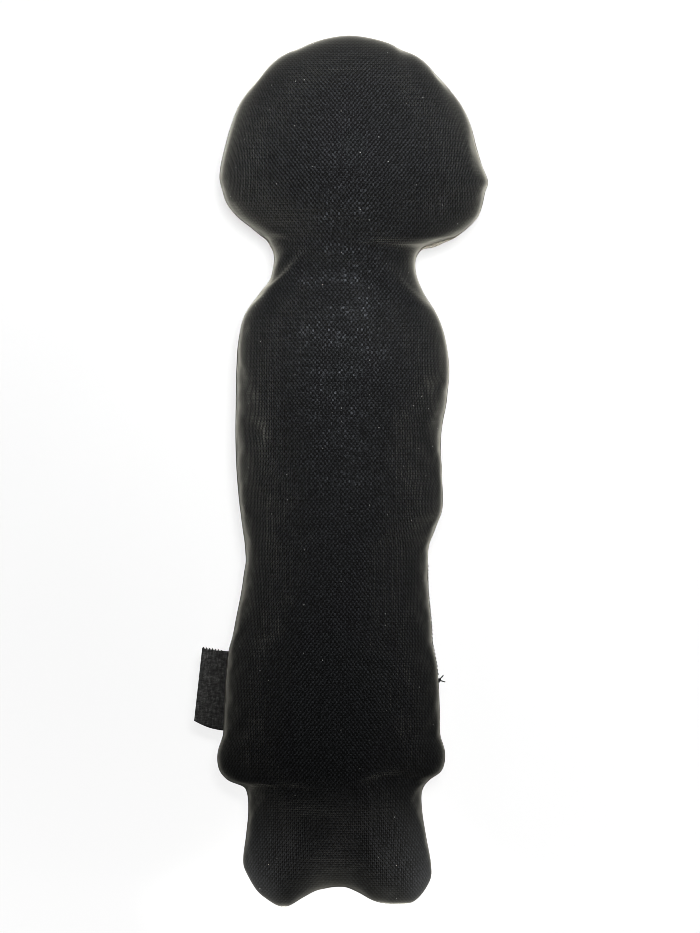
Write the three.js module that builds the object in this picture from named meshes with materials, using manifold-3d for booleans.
// A flat stuffed cloth doll. Two panels are cut to one outline, sewn together inside out, turned through
// a gap in the side seam, filled with wads of fibre and closed by hand. A folded ribbon label is caught
// in the other side seam. The doll lies on its front with its back up.
// Millimetres. +Y runs from the soles to the crown, +X to the doll's right and +Z up.

import * as THREE from 'three';
import { mergeVertices } from 'three/addons/utils/BufferGeometryUtils.js';
import Module from 'manifold-3d';

const wasm = await Module();
wasm.setup();

// The outline has six stretches from soles to crown. Each has its height, its greatest width and how far
// its middle lies to the right of the doll's centre line.
const FEET_HEIGHT = 38.7;
const FEET_WIDTH = 59.8;
const FEET_SHIFT = -1.3;
const HEM_HEIGHT = 16.3;
const HEM_WIDTH = 73.8;
const HEM_SHIFT = -3.4;
const WAIST_HEIGHT = 88.4;
const WAIST_WIDTH = 58.8;
const WAIST_SHIFT = -1.5;
const CHEST_HEIGHT = 56.9;
const CHEST_WIDTH = 68.4;
const CHEST_SHIFT = 0.4;
const NECK_HEIGHT = 14.0;
const NECK_WIDTH = 45.3;
const NECK_SHIFT = 1.2;
const HEAD_HEIGHT = 68.2;
const HEAD_WIDTH = 86.8;
const HEAD_SHIFT = 4.1;

// Fullness of each stretch: how high its seam lies above the table, how far the back swells above the
// seam and how far the front swells below it. The front is pressed flat where it would pass the table.
const FEET_SEAM = 10.4;
const FEET_RISE = 12.5;
const FEET_DROP = 11.0;
const SKIRT_SEAM = 16.2;
const SKIRT_RISE = 17.5;
const SKIRT_DROP = 16.8;
const WAIST_RISE = 18.5;
const WAIST_DROP = 16.8;
const CHEST_SEAM = 17.8;
const CHEST_RISE = 20.5;
const CHEST_DROP = 18.4;
const NECK_SEAM = 16.4;
const NECK_RISE = 14.5;
const NECK_DROP = 13.5;
const HEAD_SEAM = 19.2;
const HEAD_RISE = 22.5;
const HEAD_DROP = 19.8;

// Where each stretch is fullest, as a share of its height.
const FEET_FULLEST = 0.45;
const HEM_FULLEST = 0.6;
const WAIST_FULLEST = 0.66;
const CHEST_FULLEST = 0.5;
const NECK_FULLEST = 0.5;
const HEAD_FULLEST = 0.4;

// Where the doll begins to round off towards its ends, and where the skirt's wad meets the waist's, as shares
// of the heights of the feet, the head and the waist.
const ANKLE_SHARE = 0.8;
const CHEEK_SHARE = 0.333;
const WAD_SHARE = 0.5;

// Roundness of the swell across each panel, and of the ends: 2 is a circle's, and more is blunter.
const BACK_ROUNDNESS = 2.2;
const FRONT_ROUNDNESS = 2.8;
const SOLE_ROUNDNESS = 3;
const CROWN_ROUNDNESS = 2.4;

// How far along the doll the cloth evens out its width, and the most that a row may differ from that.
const WIDTH_REACH = 14.0;
const MOST_WIDTH_RATIO = 1.25;

// Cloth, seam and filling.
const CLOTH_THICKNESS = 0.45;
const SEAM_ALLOWANCE = 5.0;
const SEAM_GAP = 0.3;
const CLEARANCE = 0.3;
const SEAM_THREAD_WIDTH = 0.4;
const SEAM_THREAD_INSET = 1.5;

// The gap in the right side seam that is sewn up by hand.
const CLOSING_HEIGHT = 75.0;
const CLOSING_LENGTH = 36.5;
const CLOSING_THREAD_WIDTH = 0.45;
const STITCH_PITCH = 2.6;
const STITCH_REACH = 1.1;
const KNOT_WIDTH = 1.7;
const TAIL_LENGTH = 2.0;
const TAIL_TURNS = [0.35, -0.5];

// The folded ribbon label in the left side seam.
const LABEL_HEIGHT = 57.0;
const LABEL_ROOT = 25.8;
const LABEL_TIP = 23.9;
const LABEL_LEAN = 1.6;
const LABEL_LOWER_CURVE = 1.5;
const LABEL_REACH = 8.3;
const RIBBON_THICKNESS = 0.25;
const RIBBON_FOLD_GAP = 0.2;
const LABEL_STAND_OFF = 0.75;
const LABEL_HINGE_GAP = 0.6;
const HINGE_GAP_OUTSIDE = 0.25;
const LABEL_SLOT_MARGIN = 1.0;

// Fineness of the faceted surfaces.
const COLUMNS = 12;
const ROUND_COLUMNS = 0.6;
const MIDDLE_ROWS = 27;
const CAP_ROWS = 5;
const ROW_TURN_WEIGHT = 9;
const SAMPLES_PER_LANDMARK = 14;
const HEIGHT_SAMPLES = 300;
const WIDTH_SAMPLES = 9;
const THREAD_SIDES = 4;
const STITCH_STEPS = 6;
const FOLD_SEGMENTS = 4;
const TAIL_SIDES = 6;
const WELD_DISTANCE = 1e-4;

// Colours and roughness of the finished pieces.
const BLACK_LINEN = 0x17181a;
const PALE_CLOTH = 0xd9cfbb;
const FIBRE_WHITE = 0xf1efe9;
const BLACK_THREAD = 0x121212;
const BLACK_RIBBON = 0x1b1a19;
const CLOTH_ROUGHNESS = 0.95;
const FIBRE_ROUGHNESS = 1;
const THREAD_ROUGHNESS = 0.8;
const RIBBON_ROUGHNESS = 0.75;

// Seam landmarks of each stretch as [share of its half width, share of its height], from its foot up.
const FEET_LEFT = [[1.0, 0.35], [0.978, 0.6], [0.957, 0.86], [0.975, 0.965]];
const FEET_RIGHT = [[1.0, 0.35], [0.965, 0.53], [0.922, 0.76], [0.902, 0.93]];
const HEM_LEFT = [[0.83, 0.065], [0.952, 0.25], [0.997, 0.52], [0.975, 0.8]];
const HEM_RIGHT = [[0.841, 0.12], [0.94, 0.23], [0.996, 0.48], [0.994, 0.8]];
const WAIST_LEFT = [
  [1.25, 0.0], [1.227, 0.136], [1.188, 0.32], [1.11, 0.423], [1.0, 0.662], [1.061, 0.842],
];
const WAIST_RIGHT = [
  [1.14, 0.0], [1.127, 0.173], [1.039, 0.423], [1.0, 0.6], [1.039, 0.737], [1.122, 0.801], [1.16, 0.87],
];
const CHEST_LEFT = [[1.005, 0.05], [1.003, 0.4], [0.978, 0.71], [0.877, 0.903]];
const CHEST_RIGHT = [[0.924, 0.07], [0.94, 0.24], [1.0, 0.457], [0.998, 0.62], [0.9, 0.834]];
const NECK_LEFT = [[1.1, 0.163], [1.005, 0.63], [1.021, 0.907]];
const NECK_RIGHT = [[1.079, 0.047], [0.997, 0.5], [1.03, 0.83]];
const HEAD_LEFT = [
  [0.69, 0.057], [0.82, 0.114], [0.903, 0.171], [1.0, 0.333], [0.95, 0.49], [0.865, 0.657], [0.783, 0.743],
];
const HEAD_RIGHT = [
  [0.59, 0.014], [0.775, 0.057], [0.925, 0.15], [0.963, 0.243], [1.0, 0.305], [0.94, 0.4],
  [0.88, 0.557], [0.813, 0.657], [0.715, 0.743],
];
// The soles and the crown run from left to right, with shares to the left of the middle below zero.
const FEET_NOTCH = [0.011, 0.172];
const SOLES = [
  [-0.902, 0.185], [-0.75, 0.063], [-0.587, 0.0], [-0.45, 0.045], [-0.272, 0.134], FEET_NOTCH,
  [0.196, 0.139], [0.4, 0.055], [0.6, 0.03], [0.785, 0.036], [0.902, 0.109], [0.985, 0.22],
];
const CROWN = [
  [-0.67, 0.829], [-0.5, 0.92], [-0.296, 0.969], [-0.049, 1.0], [0.221, 0.971], [0.438, 0.912], [0.56, 0.855],
];

// Stretches stacked from the soles up, each with its foot's height above the soles.
const stretchOf = (height, width, shift, left, right) => ({ height, width, shift, left, right });
const STRETCHES = {
  feet: stretchOf(FEET_HEIGHT, FEET_WIDTH, FEET_SHIFT, FEET_LEFT, FEET_RIGHT),
  hem: stretchOf(HEM_HEIGHT, HEM_WIDTH, HEM_SHIFT, HEM_LEFT, HEM_RIGHT),
  waist: stretchOf(WAIST_HEIGHT, WAIST_WIDTH, WAIST_SHIFT, WAIST_LEFT, WAIST_RIGHT),
  chest: stretchOf(CHEST_HEIGHT, CHEST_WIDTH, CHEST_SHIFT, CHEST_LEFT, CHEST_RIGHT),
  neck: stretchOf(NECK_HEIGHT, NECK_WIDTH, NECK_SHIFT, NECK_LEFT, NECK_RIGHT),
  head: stretchOf(HEAD_HEIGHT, HEAD_WIDTH, HEAD_SHIFT, HEAD_LEFT, HEAD_RIGHT),
};
let stacked = 0;
for (const stretch of Object.values(STRETCHES)) {
  stretch.foot = stacked;
  stacked += stretch.height;
}
const heightIn = (stretch, share) => stretch.foot + share * stretch.height;

const { mapLinear, smoothstep, lerp } = THREE.MathUtils;
const range = (count) => Array.from({ length: count }, (_, index) => index);

// The outline

function landmark(stretch, share, up) {
  return new THREE.Vector3(stretch.shift + (share * stretch.width) / 2, heightIn(stretch, up), 0);
}

function sideLandmarks(side) {
  const sign = side === 'left' ? -1 : 1;
  return Object.values(STRETCHES).flatMap((stretch) =>
    stretch[side].map(([share, up]) => landmark(stretch, sign * share, up)),
  );
}

// One closed curve, anticlockwise from the left foot: soles, right seam, crown and left seam.
function drawOutline() {
  const right = sideLandmarks('right');
  const left = sideLandmarks('left').reverse();
  const soles = SOLES.map(([share, up]) => landmark(STRETCHES.feet, share, up));
  const crown = CROWN.map(([share, up]) => landmark(STRETCHES.head, share, up)).reverse();
  const leftFoot = left.pop();
  const points = [leftFoot, ...soles, ...right, ...crown, ...left];
  const curve = new THREE.CatmullRomCurve3(points, true, 'centripetal');
  const rightFootAt = soles.length + 1;
  const rightHeadAt = rightFootAt + right.length - 1;
  const leftHeadAt = rightHeadAt + crown.length + 1;
  const trace = (from, to) => {
    const steps = (to - from) * SAMPLES_PER_LANDMARK;
    return range(steps + 1).map((i) => curve.getPoint((from + (i * (to - from)) / steps) / points.length));
  };
  return {
    soles: trace(0, rightFootAt),
    right: trace(rightFootAt, rightHeadAt),
    crown: trace(rightHeadAt, leftHeadAt).reverse(),
    left: trace(leftHeadAt, points.length).reverse(),
  };
}
const outline = drawOutline();

// The point of a side seam at a height above the soles.
function seamPoint(seam, height) {
  const above = seam.findIndex((point) => point.y >= height);
  if (above <= 0) return (above === 0 ? seam[0] : seam.at(-1)).clone();
  const low = seam[above - 1];
  const high = seam[above];
  return low.clone().lerp(high, mapLinear(height, low.y, high.y, 0, 1));
}

// Points at even distances along a traced line.
function evenly(line, count) {
  const travelled = [0];
  for (let i = 1; i < line.length; i++) travelled.push(travelled[i - 1] + line[i].distanceTo(line[i - 1]));
  return range(count + 1).map((k) => {
    const distance = (travelled.at(-1) * k) / count;
    const next = Math.max(1, travelled.findIndex((value) => value >= distance - 1e-9));
    const part = mapLinear(distance, travelled[next - 1], travelled[next], 0, 1);
    return line[next - 1].clone().lerp(line[next], part);
  });
}

// Fullness along the doll

const FULLNESS = [
  { at: heightIn(STRETCHES.feet, FEET_FULLEST), seam: FEET_SEAM, rise: FEET_RISE, drop: FEET_DROP },
  { at: heightIn(STRETCHES.hem, HEM_FULLEST), seam: SKIRT_SEAM, rise: SKIRT_RISE, drop: SKIRT_DROP },
  { at: heightIn(STRETCHES.waist, WAIST_FULLEST), seam: SKIRT_SEAM, rise: WAIST_RISE, drop: WAIST_DROP },
  { at: heightIn(STRETCHES.chest, CHEST_FULLEST), seam: CHEST_SEAM, rise: CHEST_RISE, drop: CHEST_DROP },
  { at: heightIn(STRETCHES.neck, NECK_FULLEST), seam: NECK_SEAM, rise: NECK_RISE, drop: NECK_DROP },
  { at: heightIn(STRETCHES.head, HEAD_FULLEST), seam: HEAD_SEAM, rise: HEAD_RISE, drop: HEAD_DROP },
];

function fullness(what, height) {
  const above = FULLNESS.findIndex((station) => station.at >= height);
  if (above === 0) return FULLNESS[0][what];
  if (above < 0) return FULLNESS.at(-1)[what];
  const low = FULLNESS[above - 1];
  const high = FULLNESS[above];
  return lerp(low[what], high[what], smoothstep(height, low.at, high.at));
}

// The label's place on the left seam: its slot, its hinge line and the directions along and out of it.
const LABEL_TOP = LABEL_HEIGHT + LABEL_ROOT;
const FOLDED_THICKNESS = 2 * RIBBON_THICKNESS + RIBBON_FOLD_GAP;
const PRESSED_THICKNESS = 2 * RIBBON_THICKNESS;

function placeLabel() {
  const low = seamPoint(outline.left, LABEL_HEIGHT);
  const high = seamPoint(outline.left, LABEL_TOP);
  const along = high.clone().sub(low).normalize();
  const out = new THREE.Vector3(-along.y, along.x, 0);
  const bulge = Math.max(
    ...outline.left
      .filter((point) => point.y > LABEL_HEIGHT - LABEL_SLOT_MARGIN)
      .filter((point) => point.y < LABEL_TOP + LABEL_SLOT_MARGIN)
      .map((point) => point.clone().sub(low).dot(out)),
  );
  const middle = low.clone().lerp(high, 0.5).addScaledVector(out, bulge + LABEL_STAND_OFF);
  middle.z = fullness('seam', middle.y);
  return { middle, along, out };
}
const label = placeLabel();

// Half the space between the panels at the seam. It opens where the label passes through.
function halfGap(point) {
  const closed = SEAM_GAP / 2;
  const slot = FOLDED_THICKNESS / 2 + CLEARANCE;
  const onLeft = point.x < seamPoint(outline.left, point.y).x + SEAM_ALLOWANCE;
  const inSlot = Math.min(
    smoothstep(point.y, LABEL_HEIGHT - 2 * LABEL_SLOT_MARGIN, LABEL_HEIGHT - LABEL_SLOT_MARGIN),
    1 - smoothstep(point.y, LABEL_TOP + LABEL_SLOT_MARGIN, LABEL_TOP + 2 * LABEL_SLOT_MARGIN),
  );
  return onLeft ? lerp(closed, slot, inSlot) : closed;
}

// The panel grid: rows run from seam to seam, straight across the body, and bow at both ends to meet the
// soles and the crown.

const ANKLE = heightIn(STRETCHES.feet, ANKLE_SHARE);
const CHEEK = heightIn(STRETCHES.head, CHEEK_SHARE);
const SOLE_CORNER = outline.left[0].y;
const CROWN_CORNER = outline.left.at(-1).y;

// Heights between two rows, crowded where the two seams turn.
function middleHeights() {
  const heights = range(HEIGHT_SAMPLES + 1).map((i) => lerp(ANKLE, CHEEK, i / HEIGHT_SAMPLES));
  const weights = heights.map(() => 0);
  for (const seam of [outline.left, outline.right]) {
    const points = heights.map((height) => seamPoint(seam, height));
    for (let i = 1; i < points.length; i++) {
      const step = points[i].clone().sub(points[i - 1]);
      const before = i > 1 ? points[i - 1].clone().sub(points[i - 2]) : step;
      weights[i] += step.length() + ROW_TURN_WEIGHT * step.angleTo(before);
    }
  }
  for (let i = 1; i < weights.length; i++) weights[i] += weights[i - 1];
  const even = range(MIDDLE_ROWS + 1).map((k) => {
    const share = (weights.at(-1) * k) / MIDDLE_ROWS;
    return heights[weights.findIndex((weight) => weight >= share - 1e-9)];
  });
  const slotEnds = [
    LABEL_HEIGHT - 2 * LABEL_SLOT_MARGIN,
    LABEL_HEIGHT - LABEL_SLOT_MARGIN,
    LABEL_TOP + LABEL_SLOT_MARGIN,
    LABEL_TOP + 2 * LABEL_SLOT_MARGIN,
  ];
  const clearOfSlot = even.filter((height) =>
    slotEnds.every((end) => Math.abs(height - end) > LABEL_SLOT_MARGIN),
  );
  return [...clearOfSlot, ...slotEnds].sort((a, b) => a - b);
}

// Each row: its chord's height, how far it bows to the soles or the crown, and how flat it ends there.
function layRows() {
  const bows = range(CAP_ROWS).map((k) => Math.sin((Math.PI / 2) * ((k + 1) / CAP_ROWS)));
  const solesUp = [...bows].reverse().map((bow) => ({
    height: lerp(ANKLE, SOLE_CORNER, bow),
    toSoles: bow ** 2,
    toCrown: 0,
    swell: Math.sqrt(1 - bow ** SOLE_ROUNDNESS),
  }));
  const middle = middleHeights().map((height) => ({ height, toSoles: 0, toCrown: 0, swell: 1 }));
  const crownUp = bows.map((bow) => ({
    height: lerp(CHEEK, CROWN_CORNER, bow),
    toSoles: 0,
    toCrown: bow ** 2,
    swell: Math.sqrt(1 - bow ** CROWN_ROUNDNESS),
  }));
  return [...solesUp, ...middle, ...crownUp];
}
const rows = layRows();
const shares = range(COLUMNS + 1).map((j) =>
  lerp(j / COLUMNS, 0.5 - 0.5 * Math.cos((Math.PI * j) / COLUMNS), ROUND_COLUMNS),
);

// Points of the grid in plan, at no height.
function layPlan() {
  const soles = evenly(outline.soles, COLUMNS);
  const crown = evenly(outline.crown, COLUMNS);
  return rows.map((row) => {
    const left = seamPoint(outline.left, row.height);
    const right = seamPoint(outline.right, row.height);
    return shares.map((share, j) => {
      const toSoles = soles[j].clone().sub(soles[0].clone().lerp(soles.at(-1), share));
      const toCrown = crown[j].clone().sub(crown[0].clone().lerp(crown.at(-1), share));
      const point = left.clone().lerp(right, share);
      return point.addScaledVector(toSoles, row.toSoles).addScaledVector(toCrown, row.toCrown);
    });
  });
}
const plan = layPlan();

const widthAt = (height) => seamPoint(outline.right, height).x - seamPoint(outline.left, height).x;

// A row's width over the mean width near it.
function widthRatio(height) {
  const near = range(WIDTH_SAMPLES).map((k) =>
    widthAt(height + lerp(-WIDTH_REACH, WIDTH_REACH, k / (WIDTH_SAMPLES - 1))),
  );
  const mean = near.reduce((sum, width) => sum + width, 0) / WIDTH_SAMPLES;
  return THREE.MathUtils.clamp(widthAt(height) / mean, 1 / MOST_WIDTH_RATIO, MOST_WIDTH_RATIO);
}
const ratios = rows.map((row) => widthRatio(row.height));

// The swell across a row. Near its middle the row counts as wide as the rows round it, so that the cloth runs
// smoothly past a place where the seam turns in or out.
function acrossSwell(share, ratio, roundness) {
  const out = Math.abs(2 * share - 1);
  return Math.sqrt(1 - (out * lerp(ratio, 1, out ** 2)) ** roundness);
}

// The outer face of a panel: side 1 is the back, side -1 the front, pressed flat on the table.
function outerFace(side) {
  const roundness = side > 0 ? BACK_ROUNDNESS : FRONT_ROUNDNESS;
  const depth = side > 0 ? 'rise' : 'drop';
  return plan.map((points, i) =>
    points.map((point, j) => {
      const swell = fullness(depth, point.y) * acrossSwell(shares[j], ratios[i], roundness) * rows[i].swell;
      const height = fullness('seam', point.y) + side * (halfGap(point) + swell);
      return new THREE.Vector3(point.x, point.y, Math.max(0, height));
    }),
  );
}

// A face moved inwards along its normals.
function insetFace(face, side, distance) {
  const lastRow = face.length - 1;
  return face.map((points, i) =>
    points.map((point, j) => {
      const along = face[Math.min(i + 1, lastRow)][j].clone().sub(face[Math.max(i - 1, 0)][j]);
      const across = face[i][Math.min(j + 1, COLUMNS)].clone().sub(face[i][Math.max(j - 1, 0)]);
      const normal = across.cross(along).normalize();
      return point.clone().addScaledVector(normal, -side * distance);
    }),
  );
}

// Closed surfaces from two faces and the loops that join their rims

// The grid's rim, anticlockwise from the left foot, as row and column numbers.
function rimOf(lastRow) {
  return [
    ...range(COLUMNS).map((j) => [0, j]),
    ...range(lastRow).map((i) => [i, COLUMNS]),
    ...range(COLUMNS).map((j) => [lastRow, COLUMNS - j]),
    ...range(lastRow).map((i) => [lastRow - i, 0]),
  ];
}
const RIM = rimOf(rows.length - 1);
const rimPlan = RIM.map(([i, j]) => plan[i][j]);

// Directions from the rim into the doll: half square to the seam, half towards its middle line.
const rimInwards = rimPlan.map((point, k) => {
  const next = rimPlan[(k + 1) % rimPlan.length];
  const before = rimPlan.at(k - 1);
  const along = next.clone().sub(before).normalize();
  const square = new THREE.Vector3(-along.y, along.x, 0);
  const height = THREE.MathUtils.clamp(point.y, ANKLE, CHEEK);
  const middle = seamPoint(outline.left, height).lerp(seamPoint(outline.right, height), 0.5);
  return square.add(middle.sub(point).normalize()).normalize();
});

// The rim moved inwards in plan, at a height above or below the seam's middle.
function rimLoop(inwards, side, aboveGap) {
  return rimPlan.map((point, k) => {
    const moved = point.clone().addScaledVector(rimInwards[k], inwards);
    moved.z = fullness('seam', point.y) + side * (halfGap(point) + aboveGap);
    return moved;
  });
}

function withRim(face, loop) {
  const made = face.map((points) => [...points]);
  RIM.forEach(([i, j], k) => {
    made[i][j] = loop[k];
  });
  return made;
}

// One closed surface: the upper face, bands through the loops in turn, and the lower face.
function closedSurface(upper, loops, lower) {
  const corners = [];
  const addQuad = (a, b, c, d) => corners.push(a, b, c, a, c, d);
  for (let i = 0; i + 1 < upper.length; i++) {
    for (let j = 0; j < COLUMNS; j++) {
      addQuad(upper[i][j], upper[i][j + 1], upper[i + 1][j + 1], upper[i + 1][j]);
      addQuad(lower[i][j], lower[i + 1][j], lower[i + 1][j + 1], lower[i][j + 1]);
    }
  }
  const rings = [RIM.map(([i, j]) => upper[i][j]), ...loops, RIM.map(([i, j]) => lower[i][j])];
  for (let r = 0; r + 1 < rings.length; r++) {
    for (let k = 0; k < RIM.length; k++) {
      const next = (k + 1) % RIM.length;
      addQuad(rings[r][k], rings[r + 1][k], rings[r + 1][next], rings[r][next]);
    }
  }
  return new THREE.BufferGeometry().setFromPoints(corners);
}

// Solids for joins and cuts

function solidOf(geometry) {
  const bare = geometry.clone();
  bare.deleteAttribute('normal');
  bare.deleteAttribute('uv');
  const merged = mergeVertices(bare, WELD_DISTANCE);
  return new wasm.Manifold(
    new wasm.Mesh({
      numProp: 3,
      vertProperties: merged.attributes.position.array,
      triVerts: new Uint32Array(merged.index.array),
    }),
  );
}

function geometryOf(solid) {
  const { vertProperties, triVerts } = solid.getMesh();
  return new THREE.BufferGeometry()
    .setAttribute('position', new THREE.BufferAttribute(vertProperties, 3))
    .setIndex(new THREE.BufferAttribute(triVerts, 1));
}

// A tube of diamond section through each of its points, level across, with flat ends.
function tubeThrough(points, sideways, width) {
  const rings = points.map((point, k) => {
    const up = new THREE.Vector3(0, 0, 1);
    const ways = [sideways[k], up, sideways[k].clone().negate(), up.clone().negate()];
    return ways.map((way) => point.clone().addScaledVector(way, width / 2));
  });
  const corners = [];
  const addQuad = (a, b, c, d) => corners.push(a, b, c, a, c, d);
  for (let r = 0; r + 1 < rings.length; r++) {
    for (let k = 0; k < rings[r].length; k++) {
      const next = (k + 1) % rings[r].length;
      addQuad(rings[r][k], rings[r][next], rings[r + 1][next], rings[r + 1][k]);
    }
  }
  addQuad(...rings[0].toReversed());
  addQuad(...rings.at(-1));
  return new THREE.BufferGeometry().setFromPoints(corners);
}

// A tube with flat ends along a curve.
function tubeAlong(points, width, steps) {
  const section = new THREE.Shape(
    range(THREAD_SIDES).map((k) => {
      const angle = (2 * Math.PI * k) / THREAD_SIDES;
      return new THREE.Vector2((Math.cos(angle) * width) / 2, (Math.sin(angle) * width) / 2);
    }),
  );
  return new THREE.ExtrudeGeometry(section, { extrudePath: new THREE.CatmullRomCurve3(points), steps });
}

// The pieces

// A cloth panel with its seam allowance turned in along the seam.
function panelGeometry(side) {
  const outer = withRim(outerFace(side), rimLoop(0, side, 0));
  const innerRim = rimLoop(CLOTH_THICKNESS, side, CLOTH_THICKNESS);
  const inner = withRim(insetFace(outer, side, CLOTH_THICKNESS), innerRim);
  const seamSide = rimLoop(SEAM_ALLOWANCE, side, 0);
  const fillingSide = rimLoop(SEAM_ALLOWANCE, side, CLOTH_THICKNESS);
  return side > 0
    ? closedSurface(outer, [seamSide, fillingSide], inner)
    : closedSurface(inner, [fillingSide, seamSide], outer);
}

// All the filling as one body, grooved round its edge for the allowances and the seam threads.
function fillingSolid() {
  const depth = CLOTH_THICKNESS + CLEARANCE;
  const lipAt = SEAM_THREAD_INSET + SEAM_THREAD_WIDTH / 2 + 2 * CLEARANCE;
  const face = (side) => withRim(insetFace(outerFace(side), side, depth), rimLoop(lipAt, side, depth));
  const groove = (side) => rimLoop(SEAM_ALLOWANCE + CLEARANCE, side, depth);
  return solidOf(closedSurface(face(1), [groove(1), groove(-1)], face(-1)));
}

// The part of a solid between two heights above the soles and two places across.
function cutOut(solid, low, high, left, right) {
  const tall = 2 * (HEAD_SEAM + HEAD_RISE + HEAD_DROP);
  const box = new THREE.BoxGeometry(right - left, high - low, tall);
  box.translate((left + right) / 2, (low + high) / 2, 0);
  return geometryOf(solid.intersect(solidOf(box)));
}

// Wads of fibre, pushed in from the crown down and last into the feet.
function fillingGeometries() {
  const filling = fillingSolid();
  const bounds = filling.boundingBox();
  const far = 2 * Math.max(-bounds.min[0], bounds.max[0], bounds.max[1]);
  const skirtTop = heightIn(STRETCHES.waist, WAD_SHARE);
  const cuts = {
    skirt_filling: [STRETCHES.hem.foot, skirtTop],
    waist_filling: [skirtTop, STRETCHES.chest.foot],
    chest_filling: [STRETCHES.chest.foot, STRETCHES.neck.foot],
    neck_filling: [STRETCHES.neck.foot, STRETCHES.head.foot],
    head_filling: [STRETCHES.head.foot, far],
  };
  const half = CLEARANCE / 2;
  const wads = Object.entries(cuts).map(([name, [low, high]]) => [
    name,
    cutOut(filling, low + half, high - half, -far, far),
  ]);
  const between = landmark(STRETCHES.feet, ...FEET_NOTCH).x;
  const feetTop = STRETCHES.hem.foot - half;
  return {
    ...Object.fromEntries(wads),
    left_foot_filling: cutOut(filling, -far, feetTop, -far, between - half),
    right_foot_filling: cutOut(filling, -far, feetTop, between + half, far),
  };
}

// A thread of the machine seam, on the filling's side of one allowance, from one end of the hand-sewn gap
// round the doll to the other.
function seamThreadGeometry(side) {
  const onAllowance = CLOTH_THICKNESS + CLEARANCE + SEAM_THREAD_WIDTH / 2;
  const loop = rimLoop(SEAM_THREAD_INSET, side, onAllowance);
  const onRight = RIM.map(([i, j]) => j === COLUMNS && i > 0 && i + 1 < rows.length);
  const top = CLOSING_HEIGHT + CLOSING_LENGTH;
  const start = RIM.findIndex((_, k) => onRight[k] && rimPlan[k].y > top);
  const route = range(RIM.length)
    .map((k) => (start + k) % RIM.length)
    .filter((k) => !(onRight[k] && rimPlan[k].y > CLOSING_HEIGHT && rimPlan[k].y < top));
  return tubeThrough(route.map((k) => loop[k]), route.map((k) => rimInwards[k]), SEAM_THREAD_WIDTH);
}

// A place beside the right seam: how far out of it, and how far above its middle.
function besideRightSeam(height, out, up) {
  const low = seamPoint(outline.right, height - STITCH_PITCH);
  const high = seamPoint(outline.right, height + STITCH_PITCH);
  const along = high.sub(low).normalize();
  const place = seamPoint(outline.right, height);
  place.addScaledVector(new THREE.Vector3(along.y, -along.x, 0), out);
  place.z = fullness('seam', height) + up;
  return place;
}

// Hand stitches that pass over the closed gap's edge from the back to the front and back again, and stand
// out most where they cross it.
function closingThreadGeometry() {
  const stitches = Math.round(CLOSING_LENGTH / STITCH_PITCH);
  const steps = stitches * STITCH_STEPS;
  const route = range(steps + 1).map((i) => {
    const swing = Math.sin((2 * Math.PI * i) / STITCH_STEPS);
    const out = CLEARANCE + CLOSING_THREAD_WIDTH * (1 - Math.abs(swing) / 2);
    return besideRightSeam(CLOSING_HEIGHT + (CLOSING_LENGTH * i) / steps, out, STITCH_REACH * swing);
  });
  return tubeAlong(route, CLOSING_THREAD_WIDTH, steps);
}

// The knot below the last stitch, with two cut tails.
function closingKnotGeometry() {
  const drop = KNOT_WIDTH / 2 + CLOSING_THREAD_WIDTH + CLEARANCE;
  const middle = besideRightSeam(CLOSING_HEIGHT - drop, CLEARANCE + KNOT_WIDTH / 2, 0);
  let knot = solidOf(new THREE.IcosahedronGeometry(KNOT_WIDTH / 2, 1));
  for (const turn of TAIL_TURNS) {
    const [tip, root] = [CLOSING_THREAD_WIDTH / 3, CLOSING_THREAD_WIDTH / 2];
    const tail = new THREE.CylinderGeometry(tip, root, TAIL_LENGTH, TAIL_SIDES);
    tail.translate(0, TAIL_LENGTH / 2, 0);
    tail.rotateZ(turn - Math.PI / 2);
    knot = knot.add(solidOf(tail));
  }
  return geometryOf(knot).translate(middle.x, middle.y, middle.z);
}

// The label's own frame: x out of the seam, y up and z along the seam.
function seatOnLabel(geometry) {
  const up = new THREE.Vector3(0, 0, 1);
  const frame = new THREE.Matrix4().makeBasis(label.out, up, label.along).setPosition(label.middle);
  return geometry.applyMatrix4(frame);
}

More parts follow.
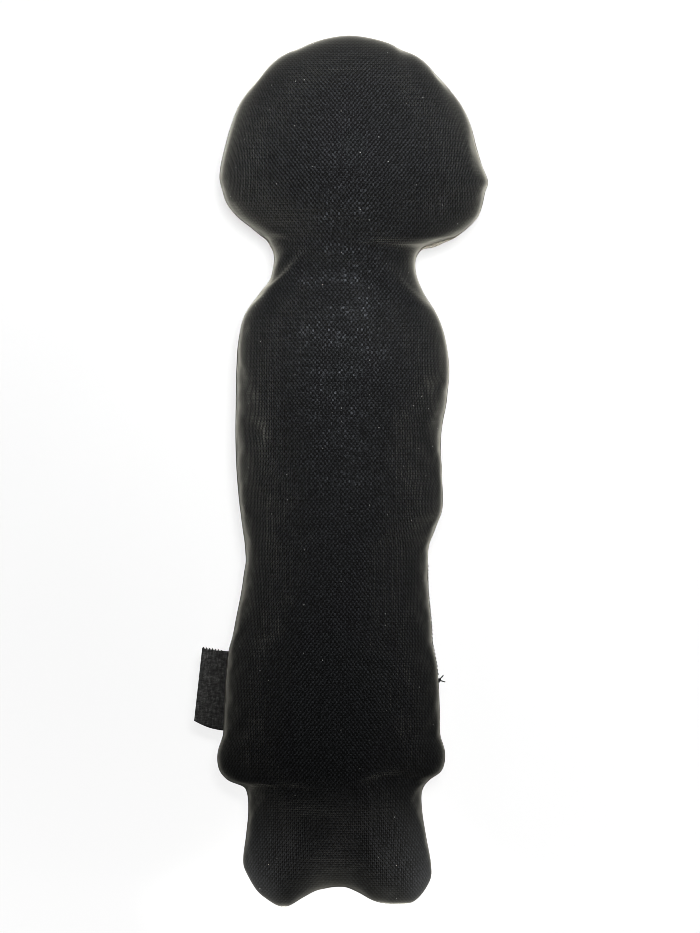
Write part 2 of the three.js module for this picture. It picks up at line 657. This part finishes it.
// The ribbon folded back on itself. Its free edge is shorter than its root, and its lower edge curves.
function labelTabGeometry() {
  const start = LABEL_HINGE_GAP * HINGE_GAP_OUTSIDE;
  const outer = FOLDED_THICKNESS / 2;
  const inner = RIBBON_FOLD_GAP / 2;
  const bend = LABEL_REACH - outer;
  const profile = new THREE.Shape();
  profile.moveTo(start, -outer);
  profile.lineTo(bend, -outer);
  profile.absarc(bend, 0, outer, -Math.PI / 2, Math.PI / 2);
  profile.lineTo(start, outer);
  profile.lineTo(start, inner);
  profile.lineTo(bend, inner);
  profile.absarc(bend, 0, inner, Math.PI / 2, -Math.PI / 2, true);
  profile.lineTo(start, -inner);
  profile.closePath();
  const unitDepth = { depth: 1, steps: 1, bevelEnabled: false, curveSegments: FOLD_SEGMENTS };
  const geometry = new THREE.ExtrudeGeometry(profile, unitDepth);
  const places = geometry.attributes.position;
  for (let i = 0; i < places.count; i++) {
    const reach = Math.min(1, places.getX(i) / LABEL_REACH);
    const low = lerp(-LABEL_ROOT / 2, LABEL_LEAN - LABEL_TIP / 2, reach ** LABEL_LOWER_CURVE);
    const high = lerp(LABEL_ROOT / 2, LABEL_LEAN + LABEL_TIP / 2, reach);
    places.setZ(i, lerp(low, high, places.getZ(i)));
  }
  return seatOnLabel(geometry);
}

// The ribbon's two ends, pressed together between the allowances.
function labelSeamEndGeometry() {
  const outside = -LABEL_HINGE_GAP * (1 - HINGE_GAP_OUTSIDE);
  const inside = -LABEL_STAND_OFF - SEAM_ALLOWANCE + CLEARANCE;
  const ends = new THREE.BoxGeometry(outside - inside, PRESSED_THICKNESS, LABEL_ROOT);
  ends.translate((outside + inside) / 2, 0, 0);
  return seatOnLabel(ends);
}

// The assembly

const finish = (color, roughness) => new THREE.MeshStandardMaterial({ color, roughness, metalness: 0 });
const linen = finish(BLACK_LINEN, CLOTH_ROUGHNESS);
const paleCloth = finish(PALE_CLOTH, CLOTH_ROUGHNESS);
const fibre = finish(FIBRE_WHITE, FIBRE_ROUGHNESS);
const thread = finish(BLACK_THREAD, THREAD_ROUGHNESS);
const ribbon = finish(BLACK_RIBBON, RIBBON_ROUGHNESS);

const doll = new THREE.Group();
function addPiece(name, geometry, material) {
  const mesh = new THREE.Mesh(geometry, material);
  mesh.name = name;
  doll.add(mesh);
}

addPiece('back_panel', panelGeometry(1), linen);
addPiece('front_panel', panelGeometry(-1), paleCloth);
for (const [name, geometry] of Object.entries(fillingGeometries())) addPiece(name, geometry, fibre);
addPiece('seam_needle_thread', seamThreadGeometry(1), thread);
addPiece('seam_bobbin_thread', seamThreadGeometry(-1), thread);
addPiece('closing_thread', closingThreadGeometry(), thread);
addPiece('closing_knot', closingKnotGeometry(), thread);
addPiece('label_tab', labelTabGeometry(), ribbon);
addPiece('label_seam_end', labelSeamEndGeometry(), ribbon);

// The origin lies on the table under the middle of the doll's box.
const box = new THREE.Box3().setFromObject(doll);
doll.position.set(-(box.min.x + box.max.x) / 2, -(box.min.y + box.max.y) / 2, -box.min.z);
const root = new THREE.Group();
root.add(doll);

export default root;
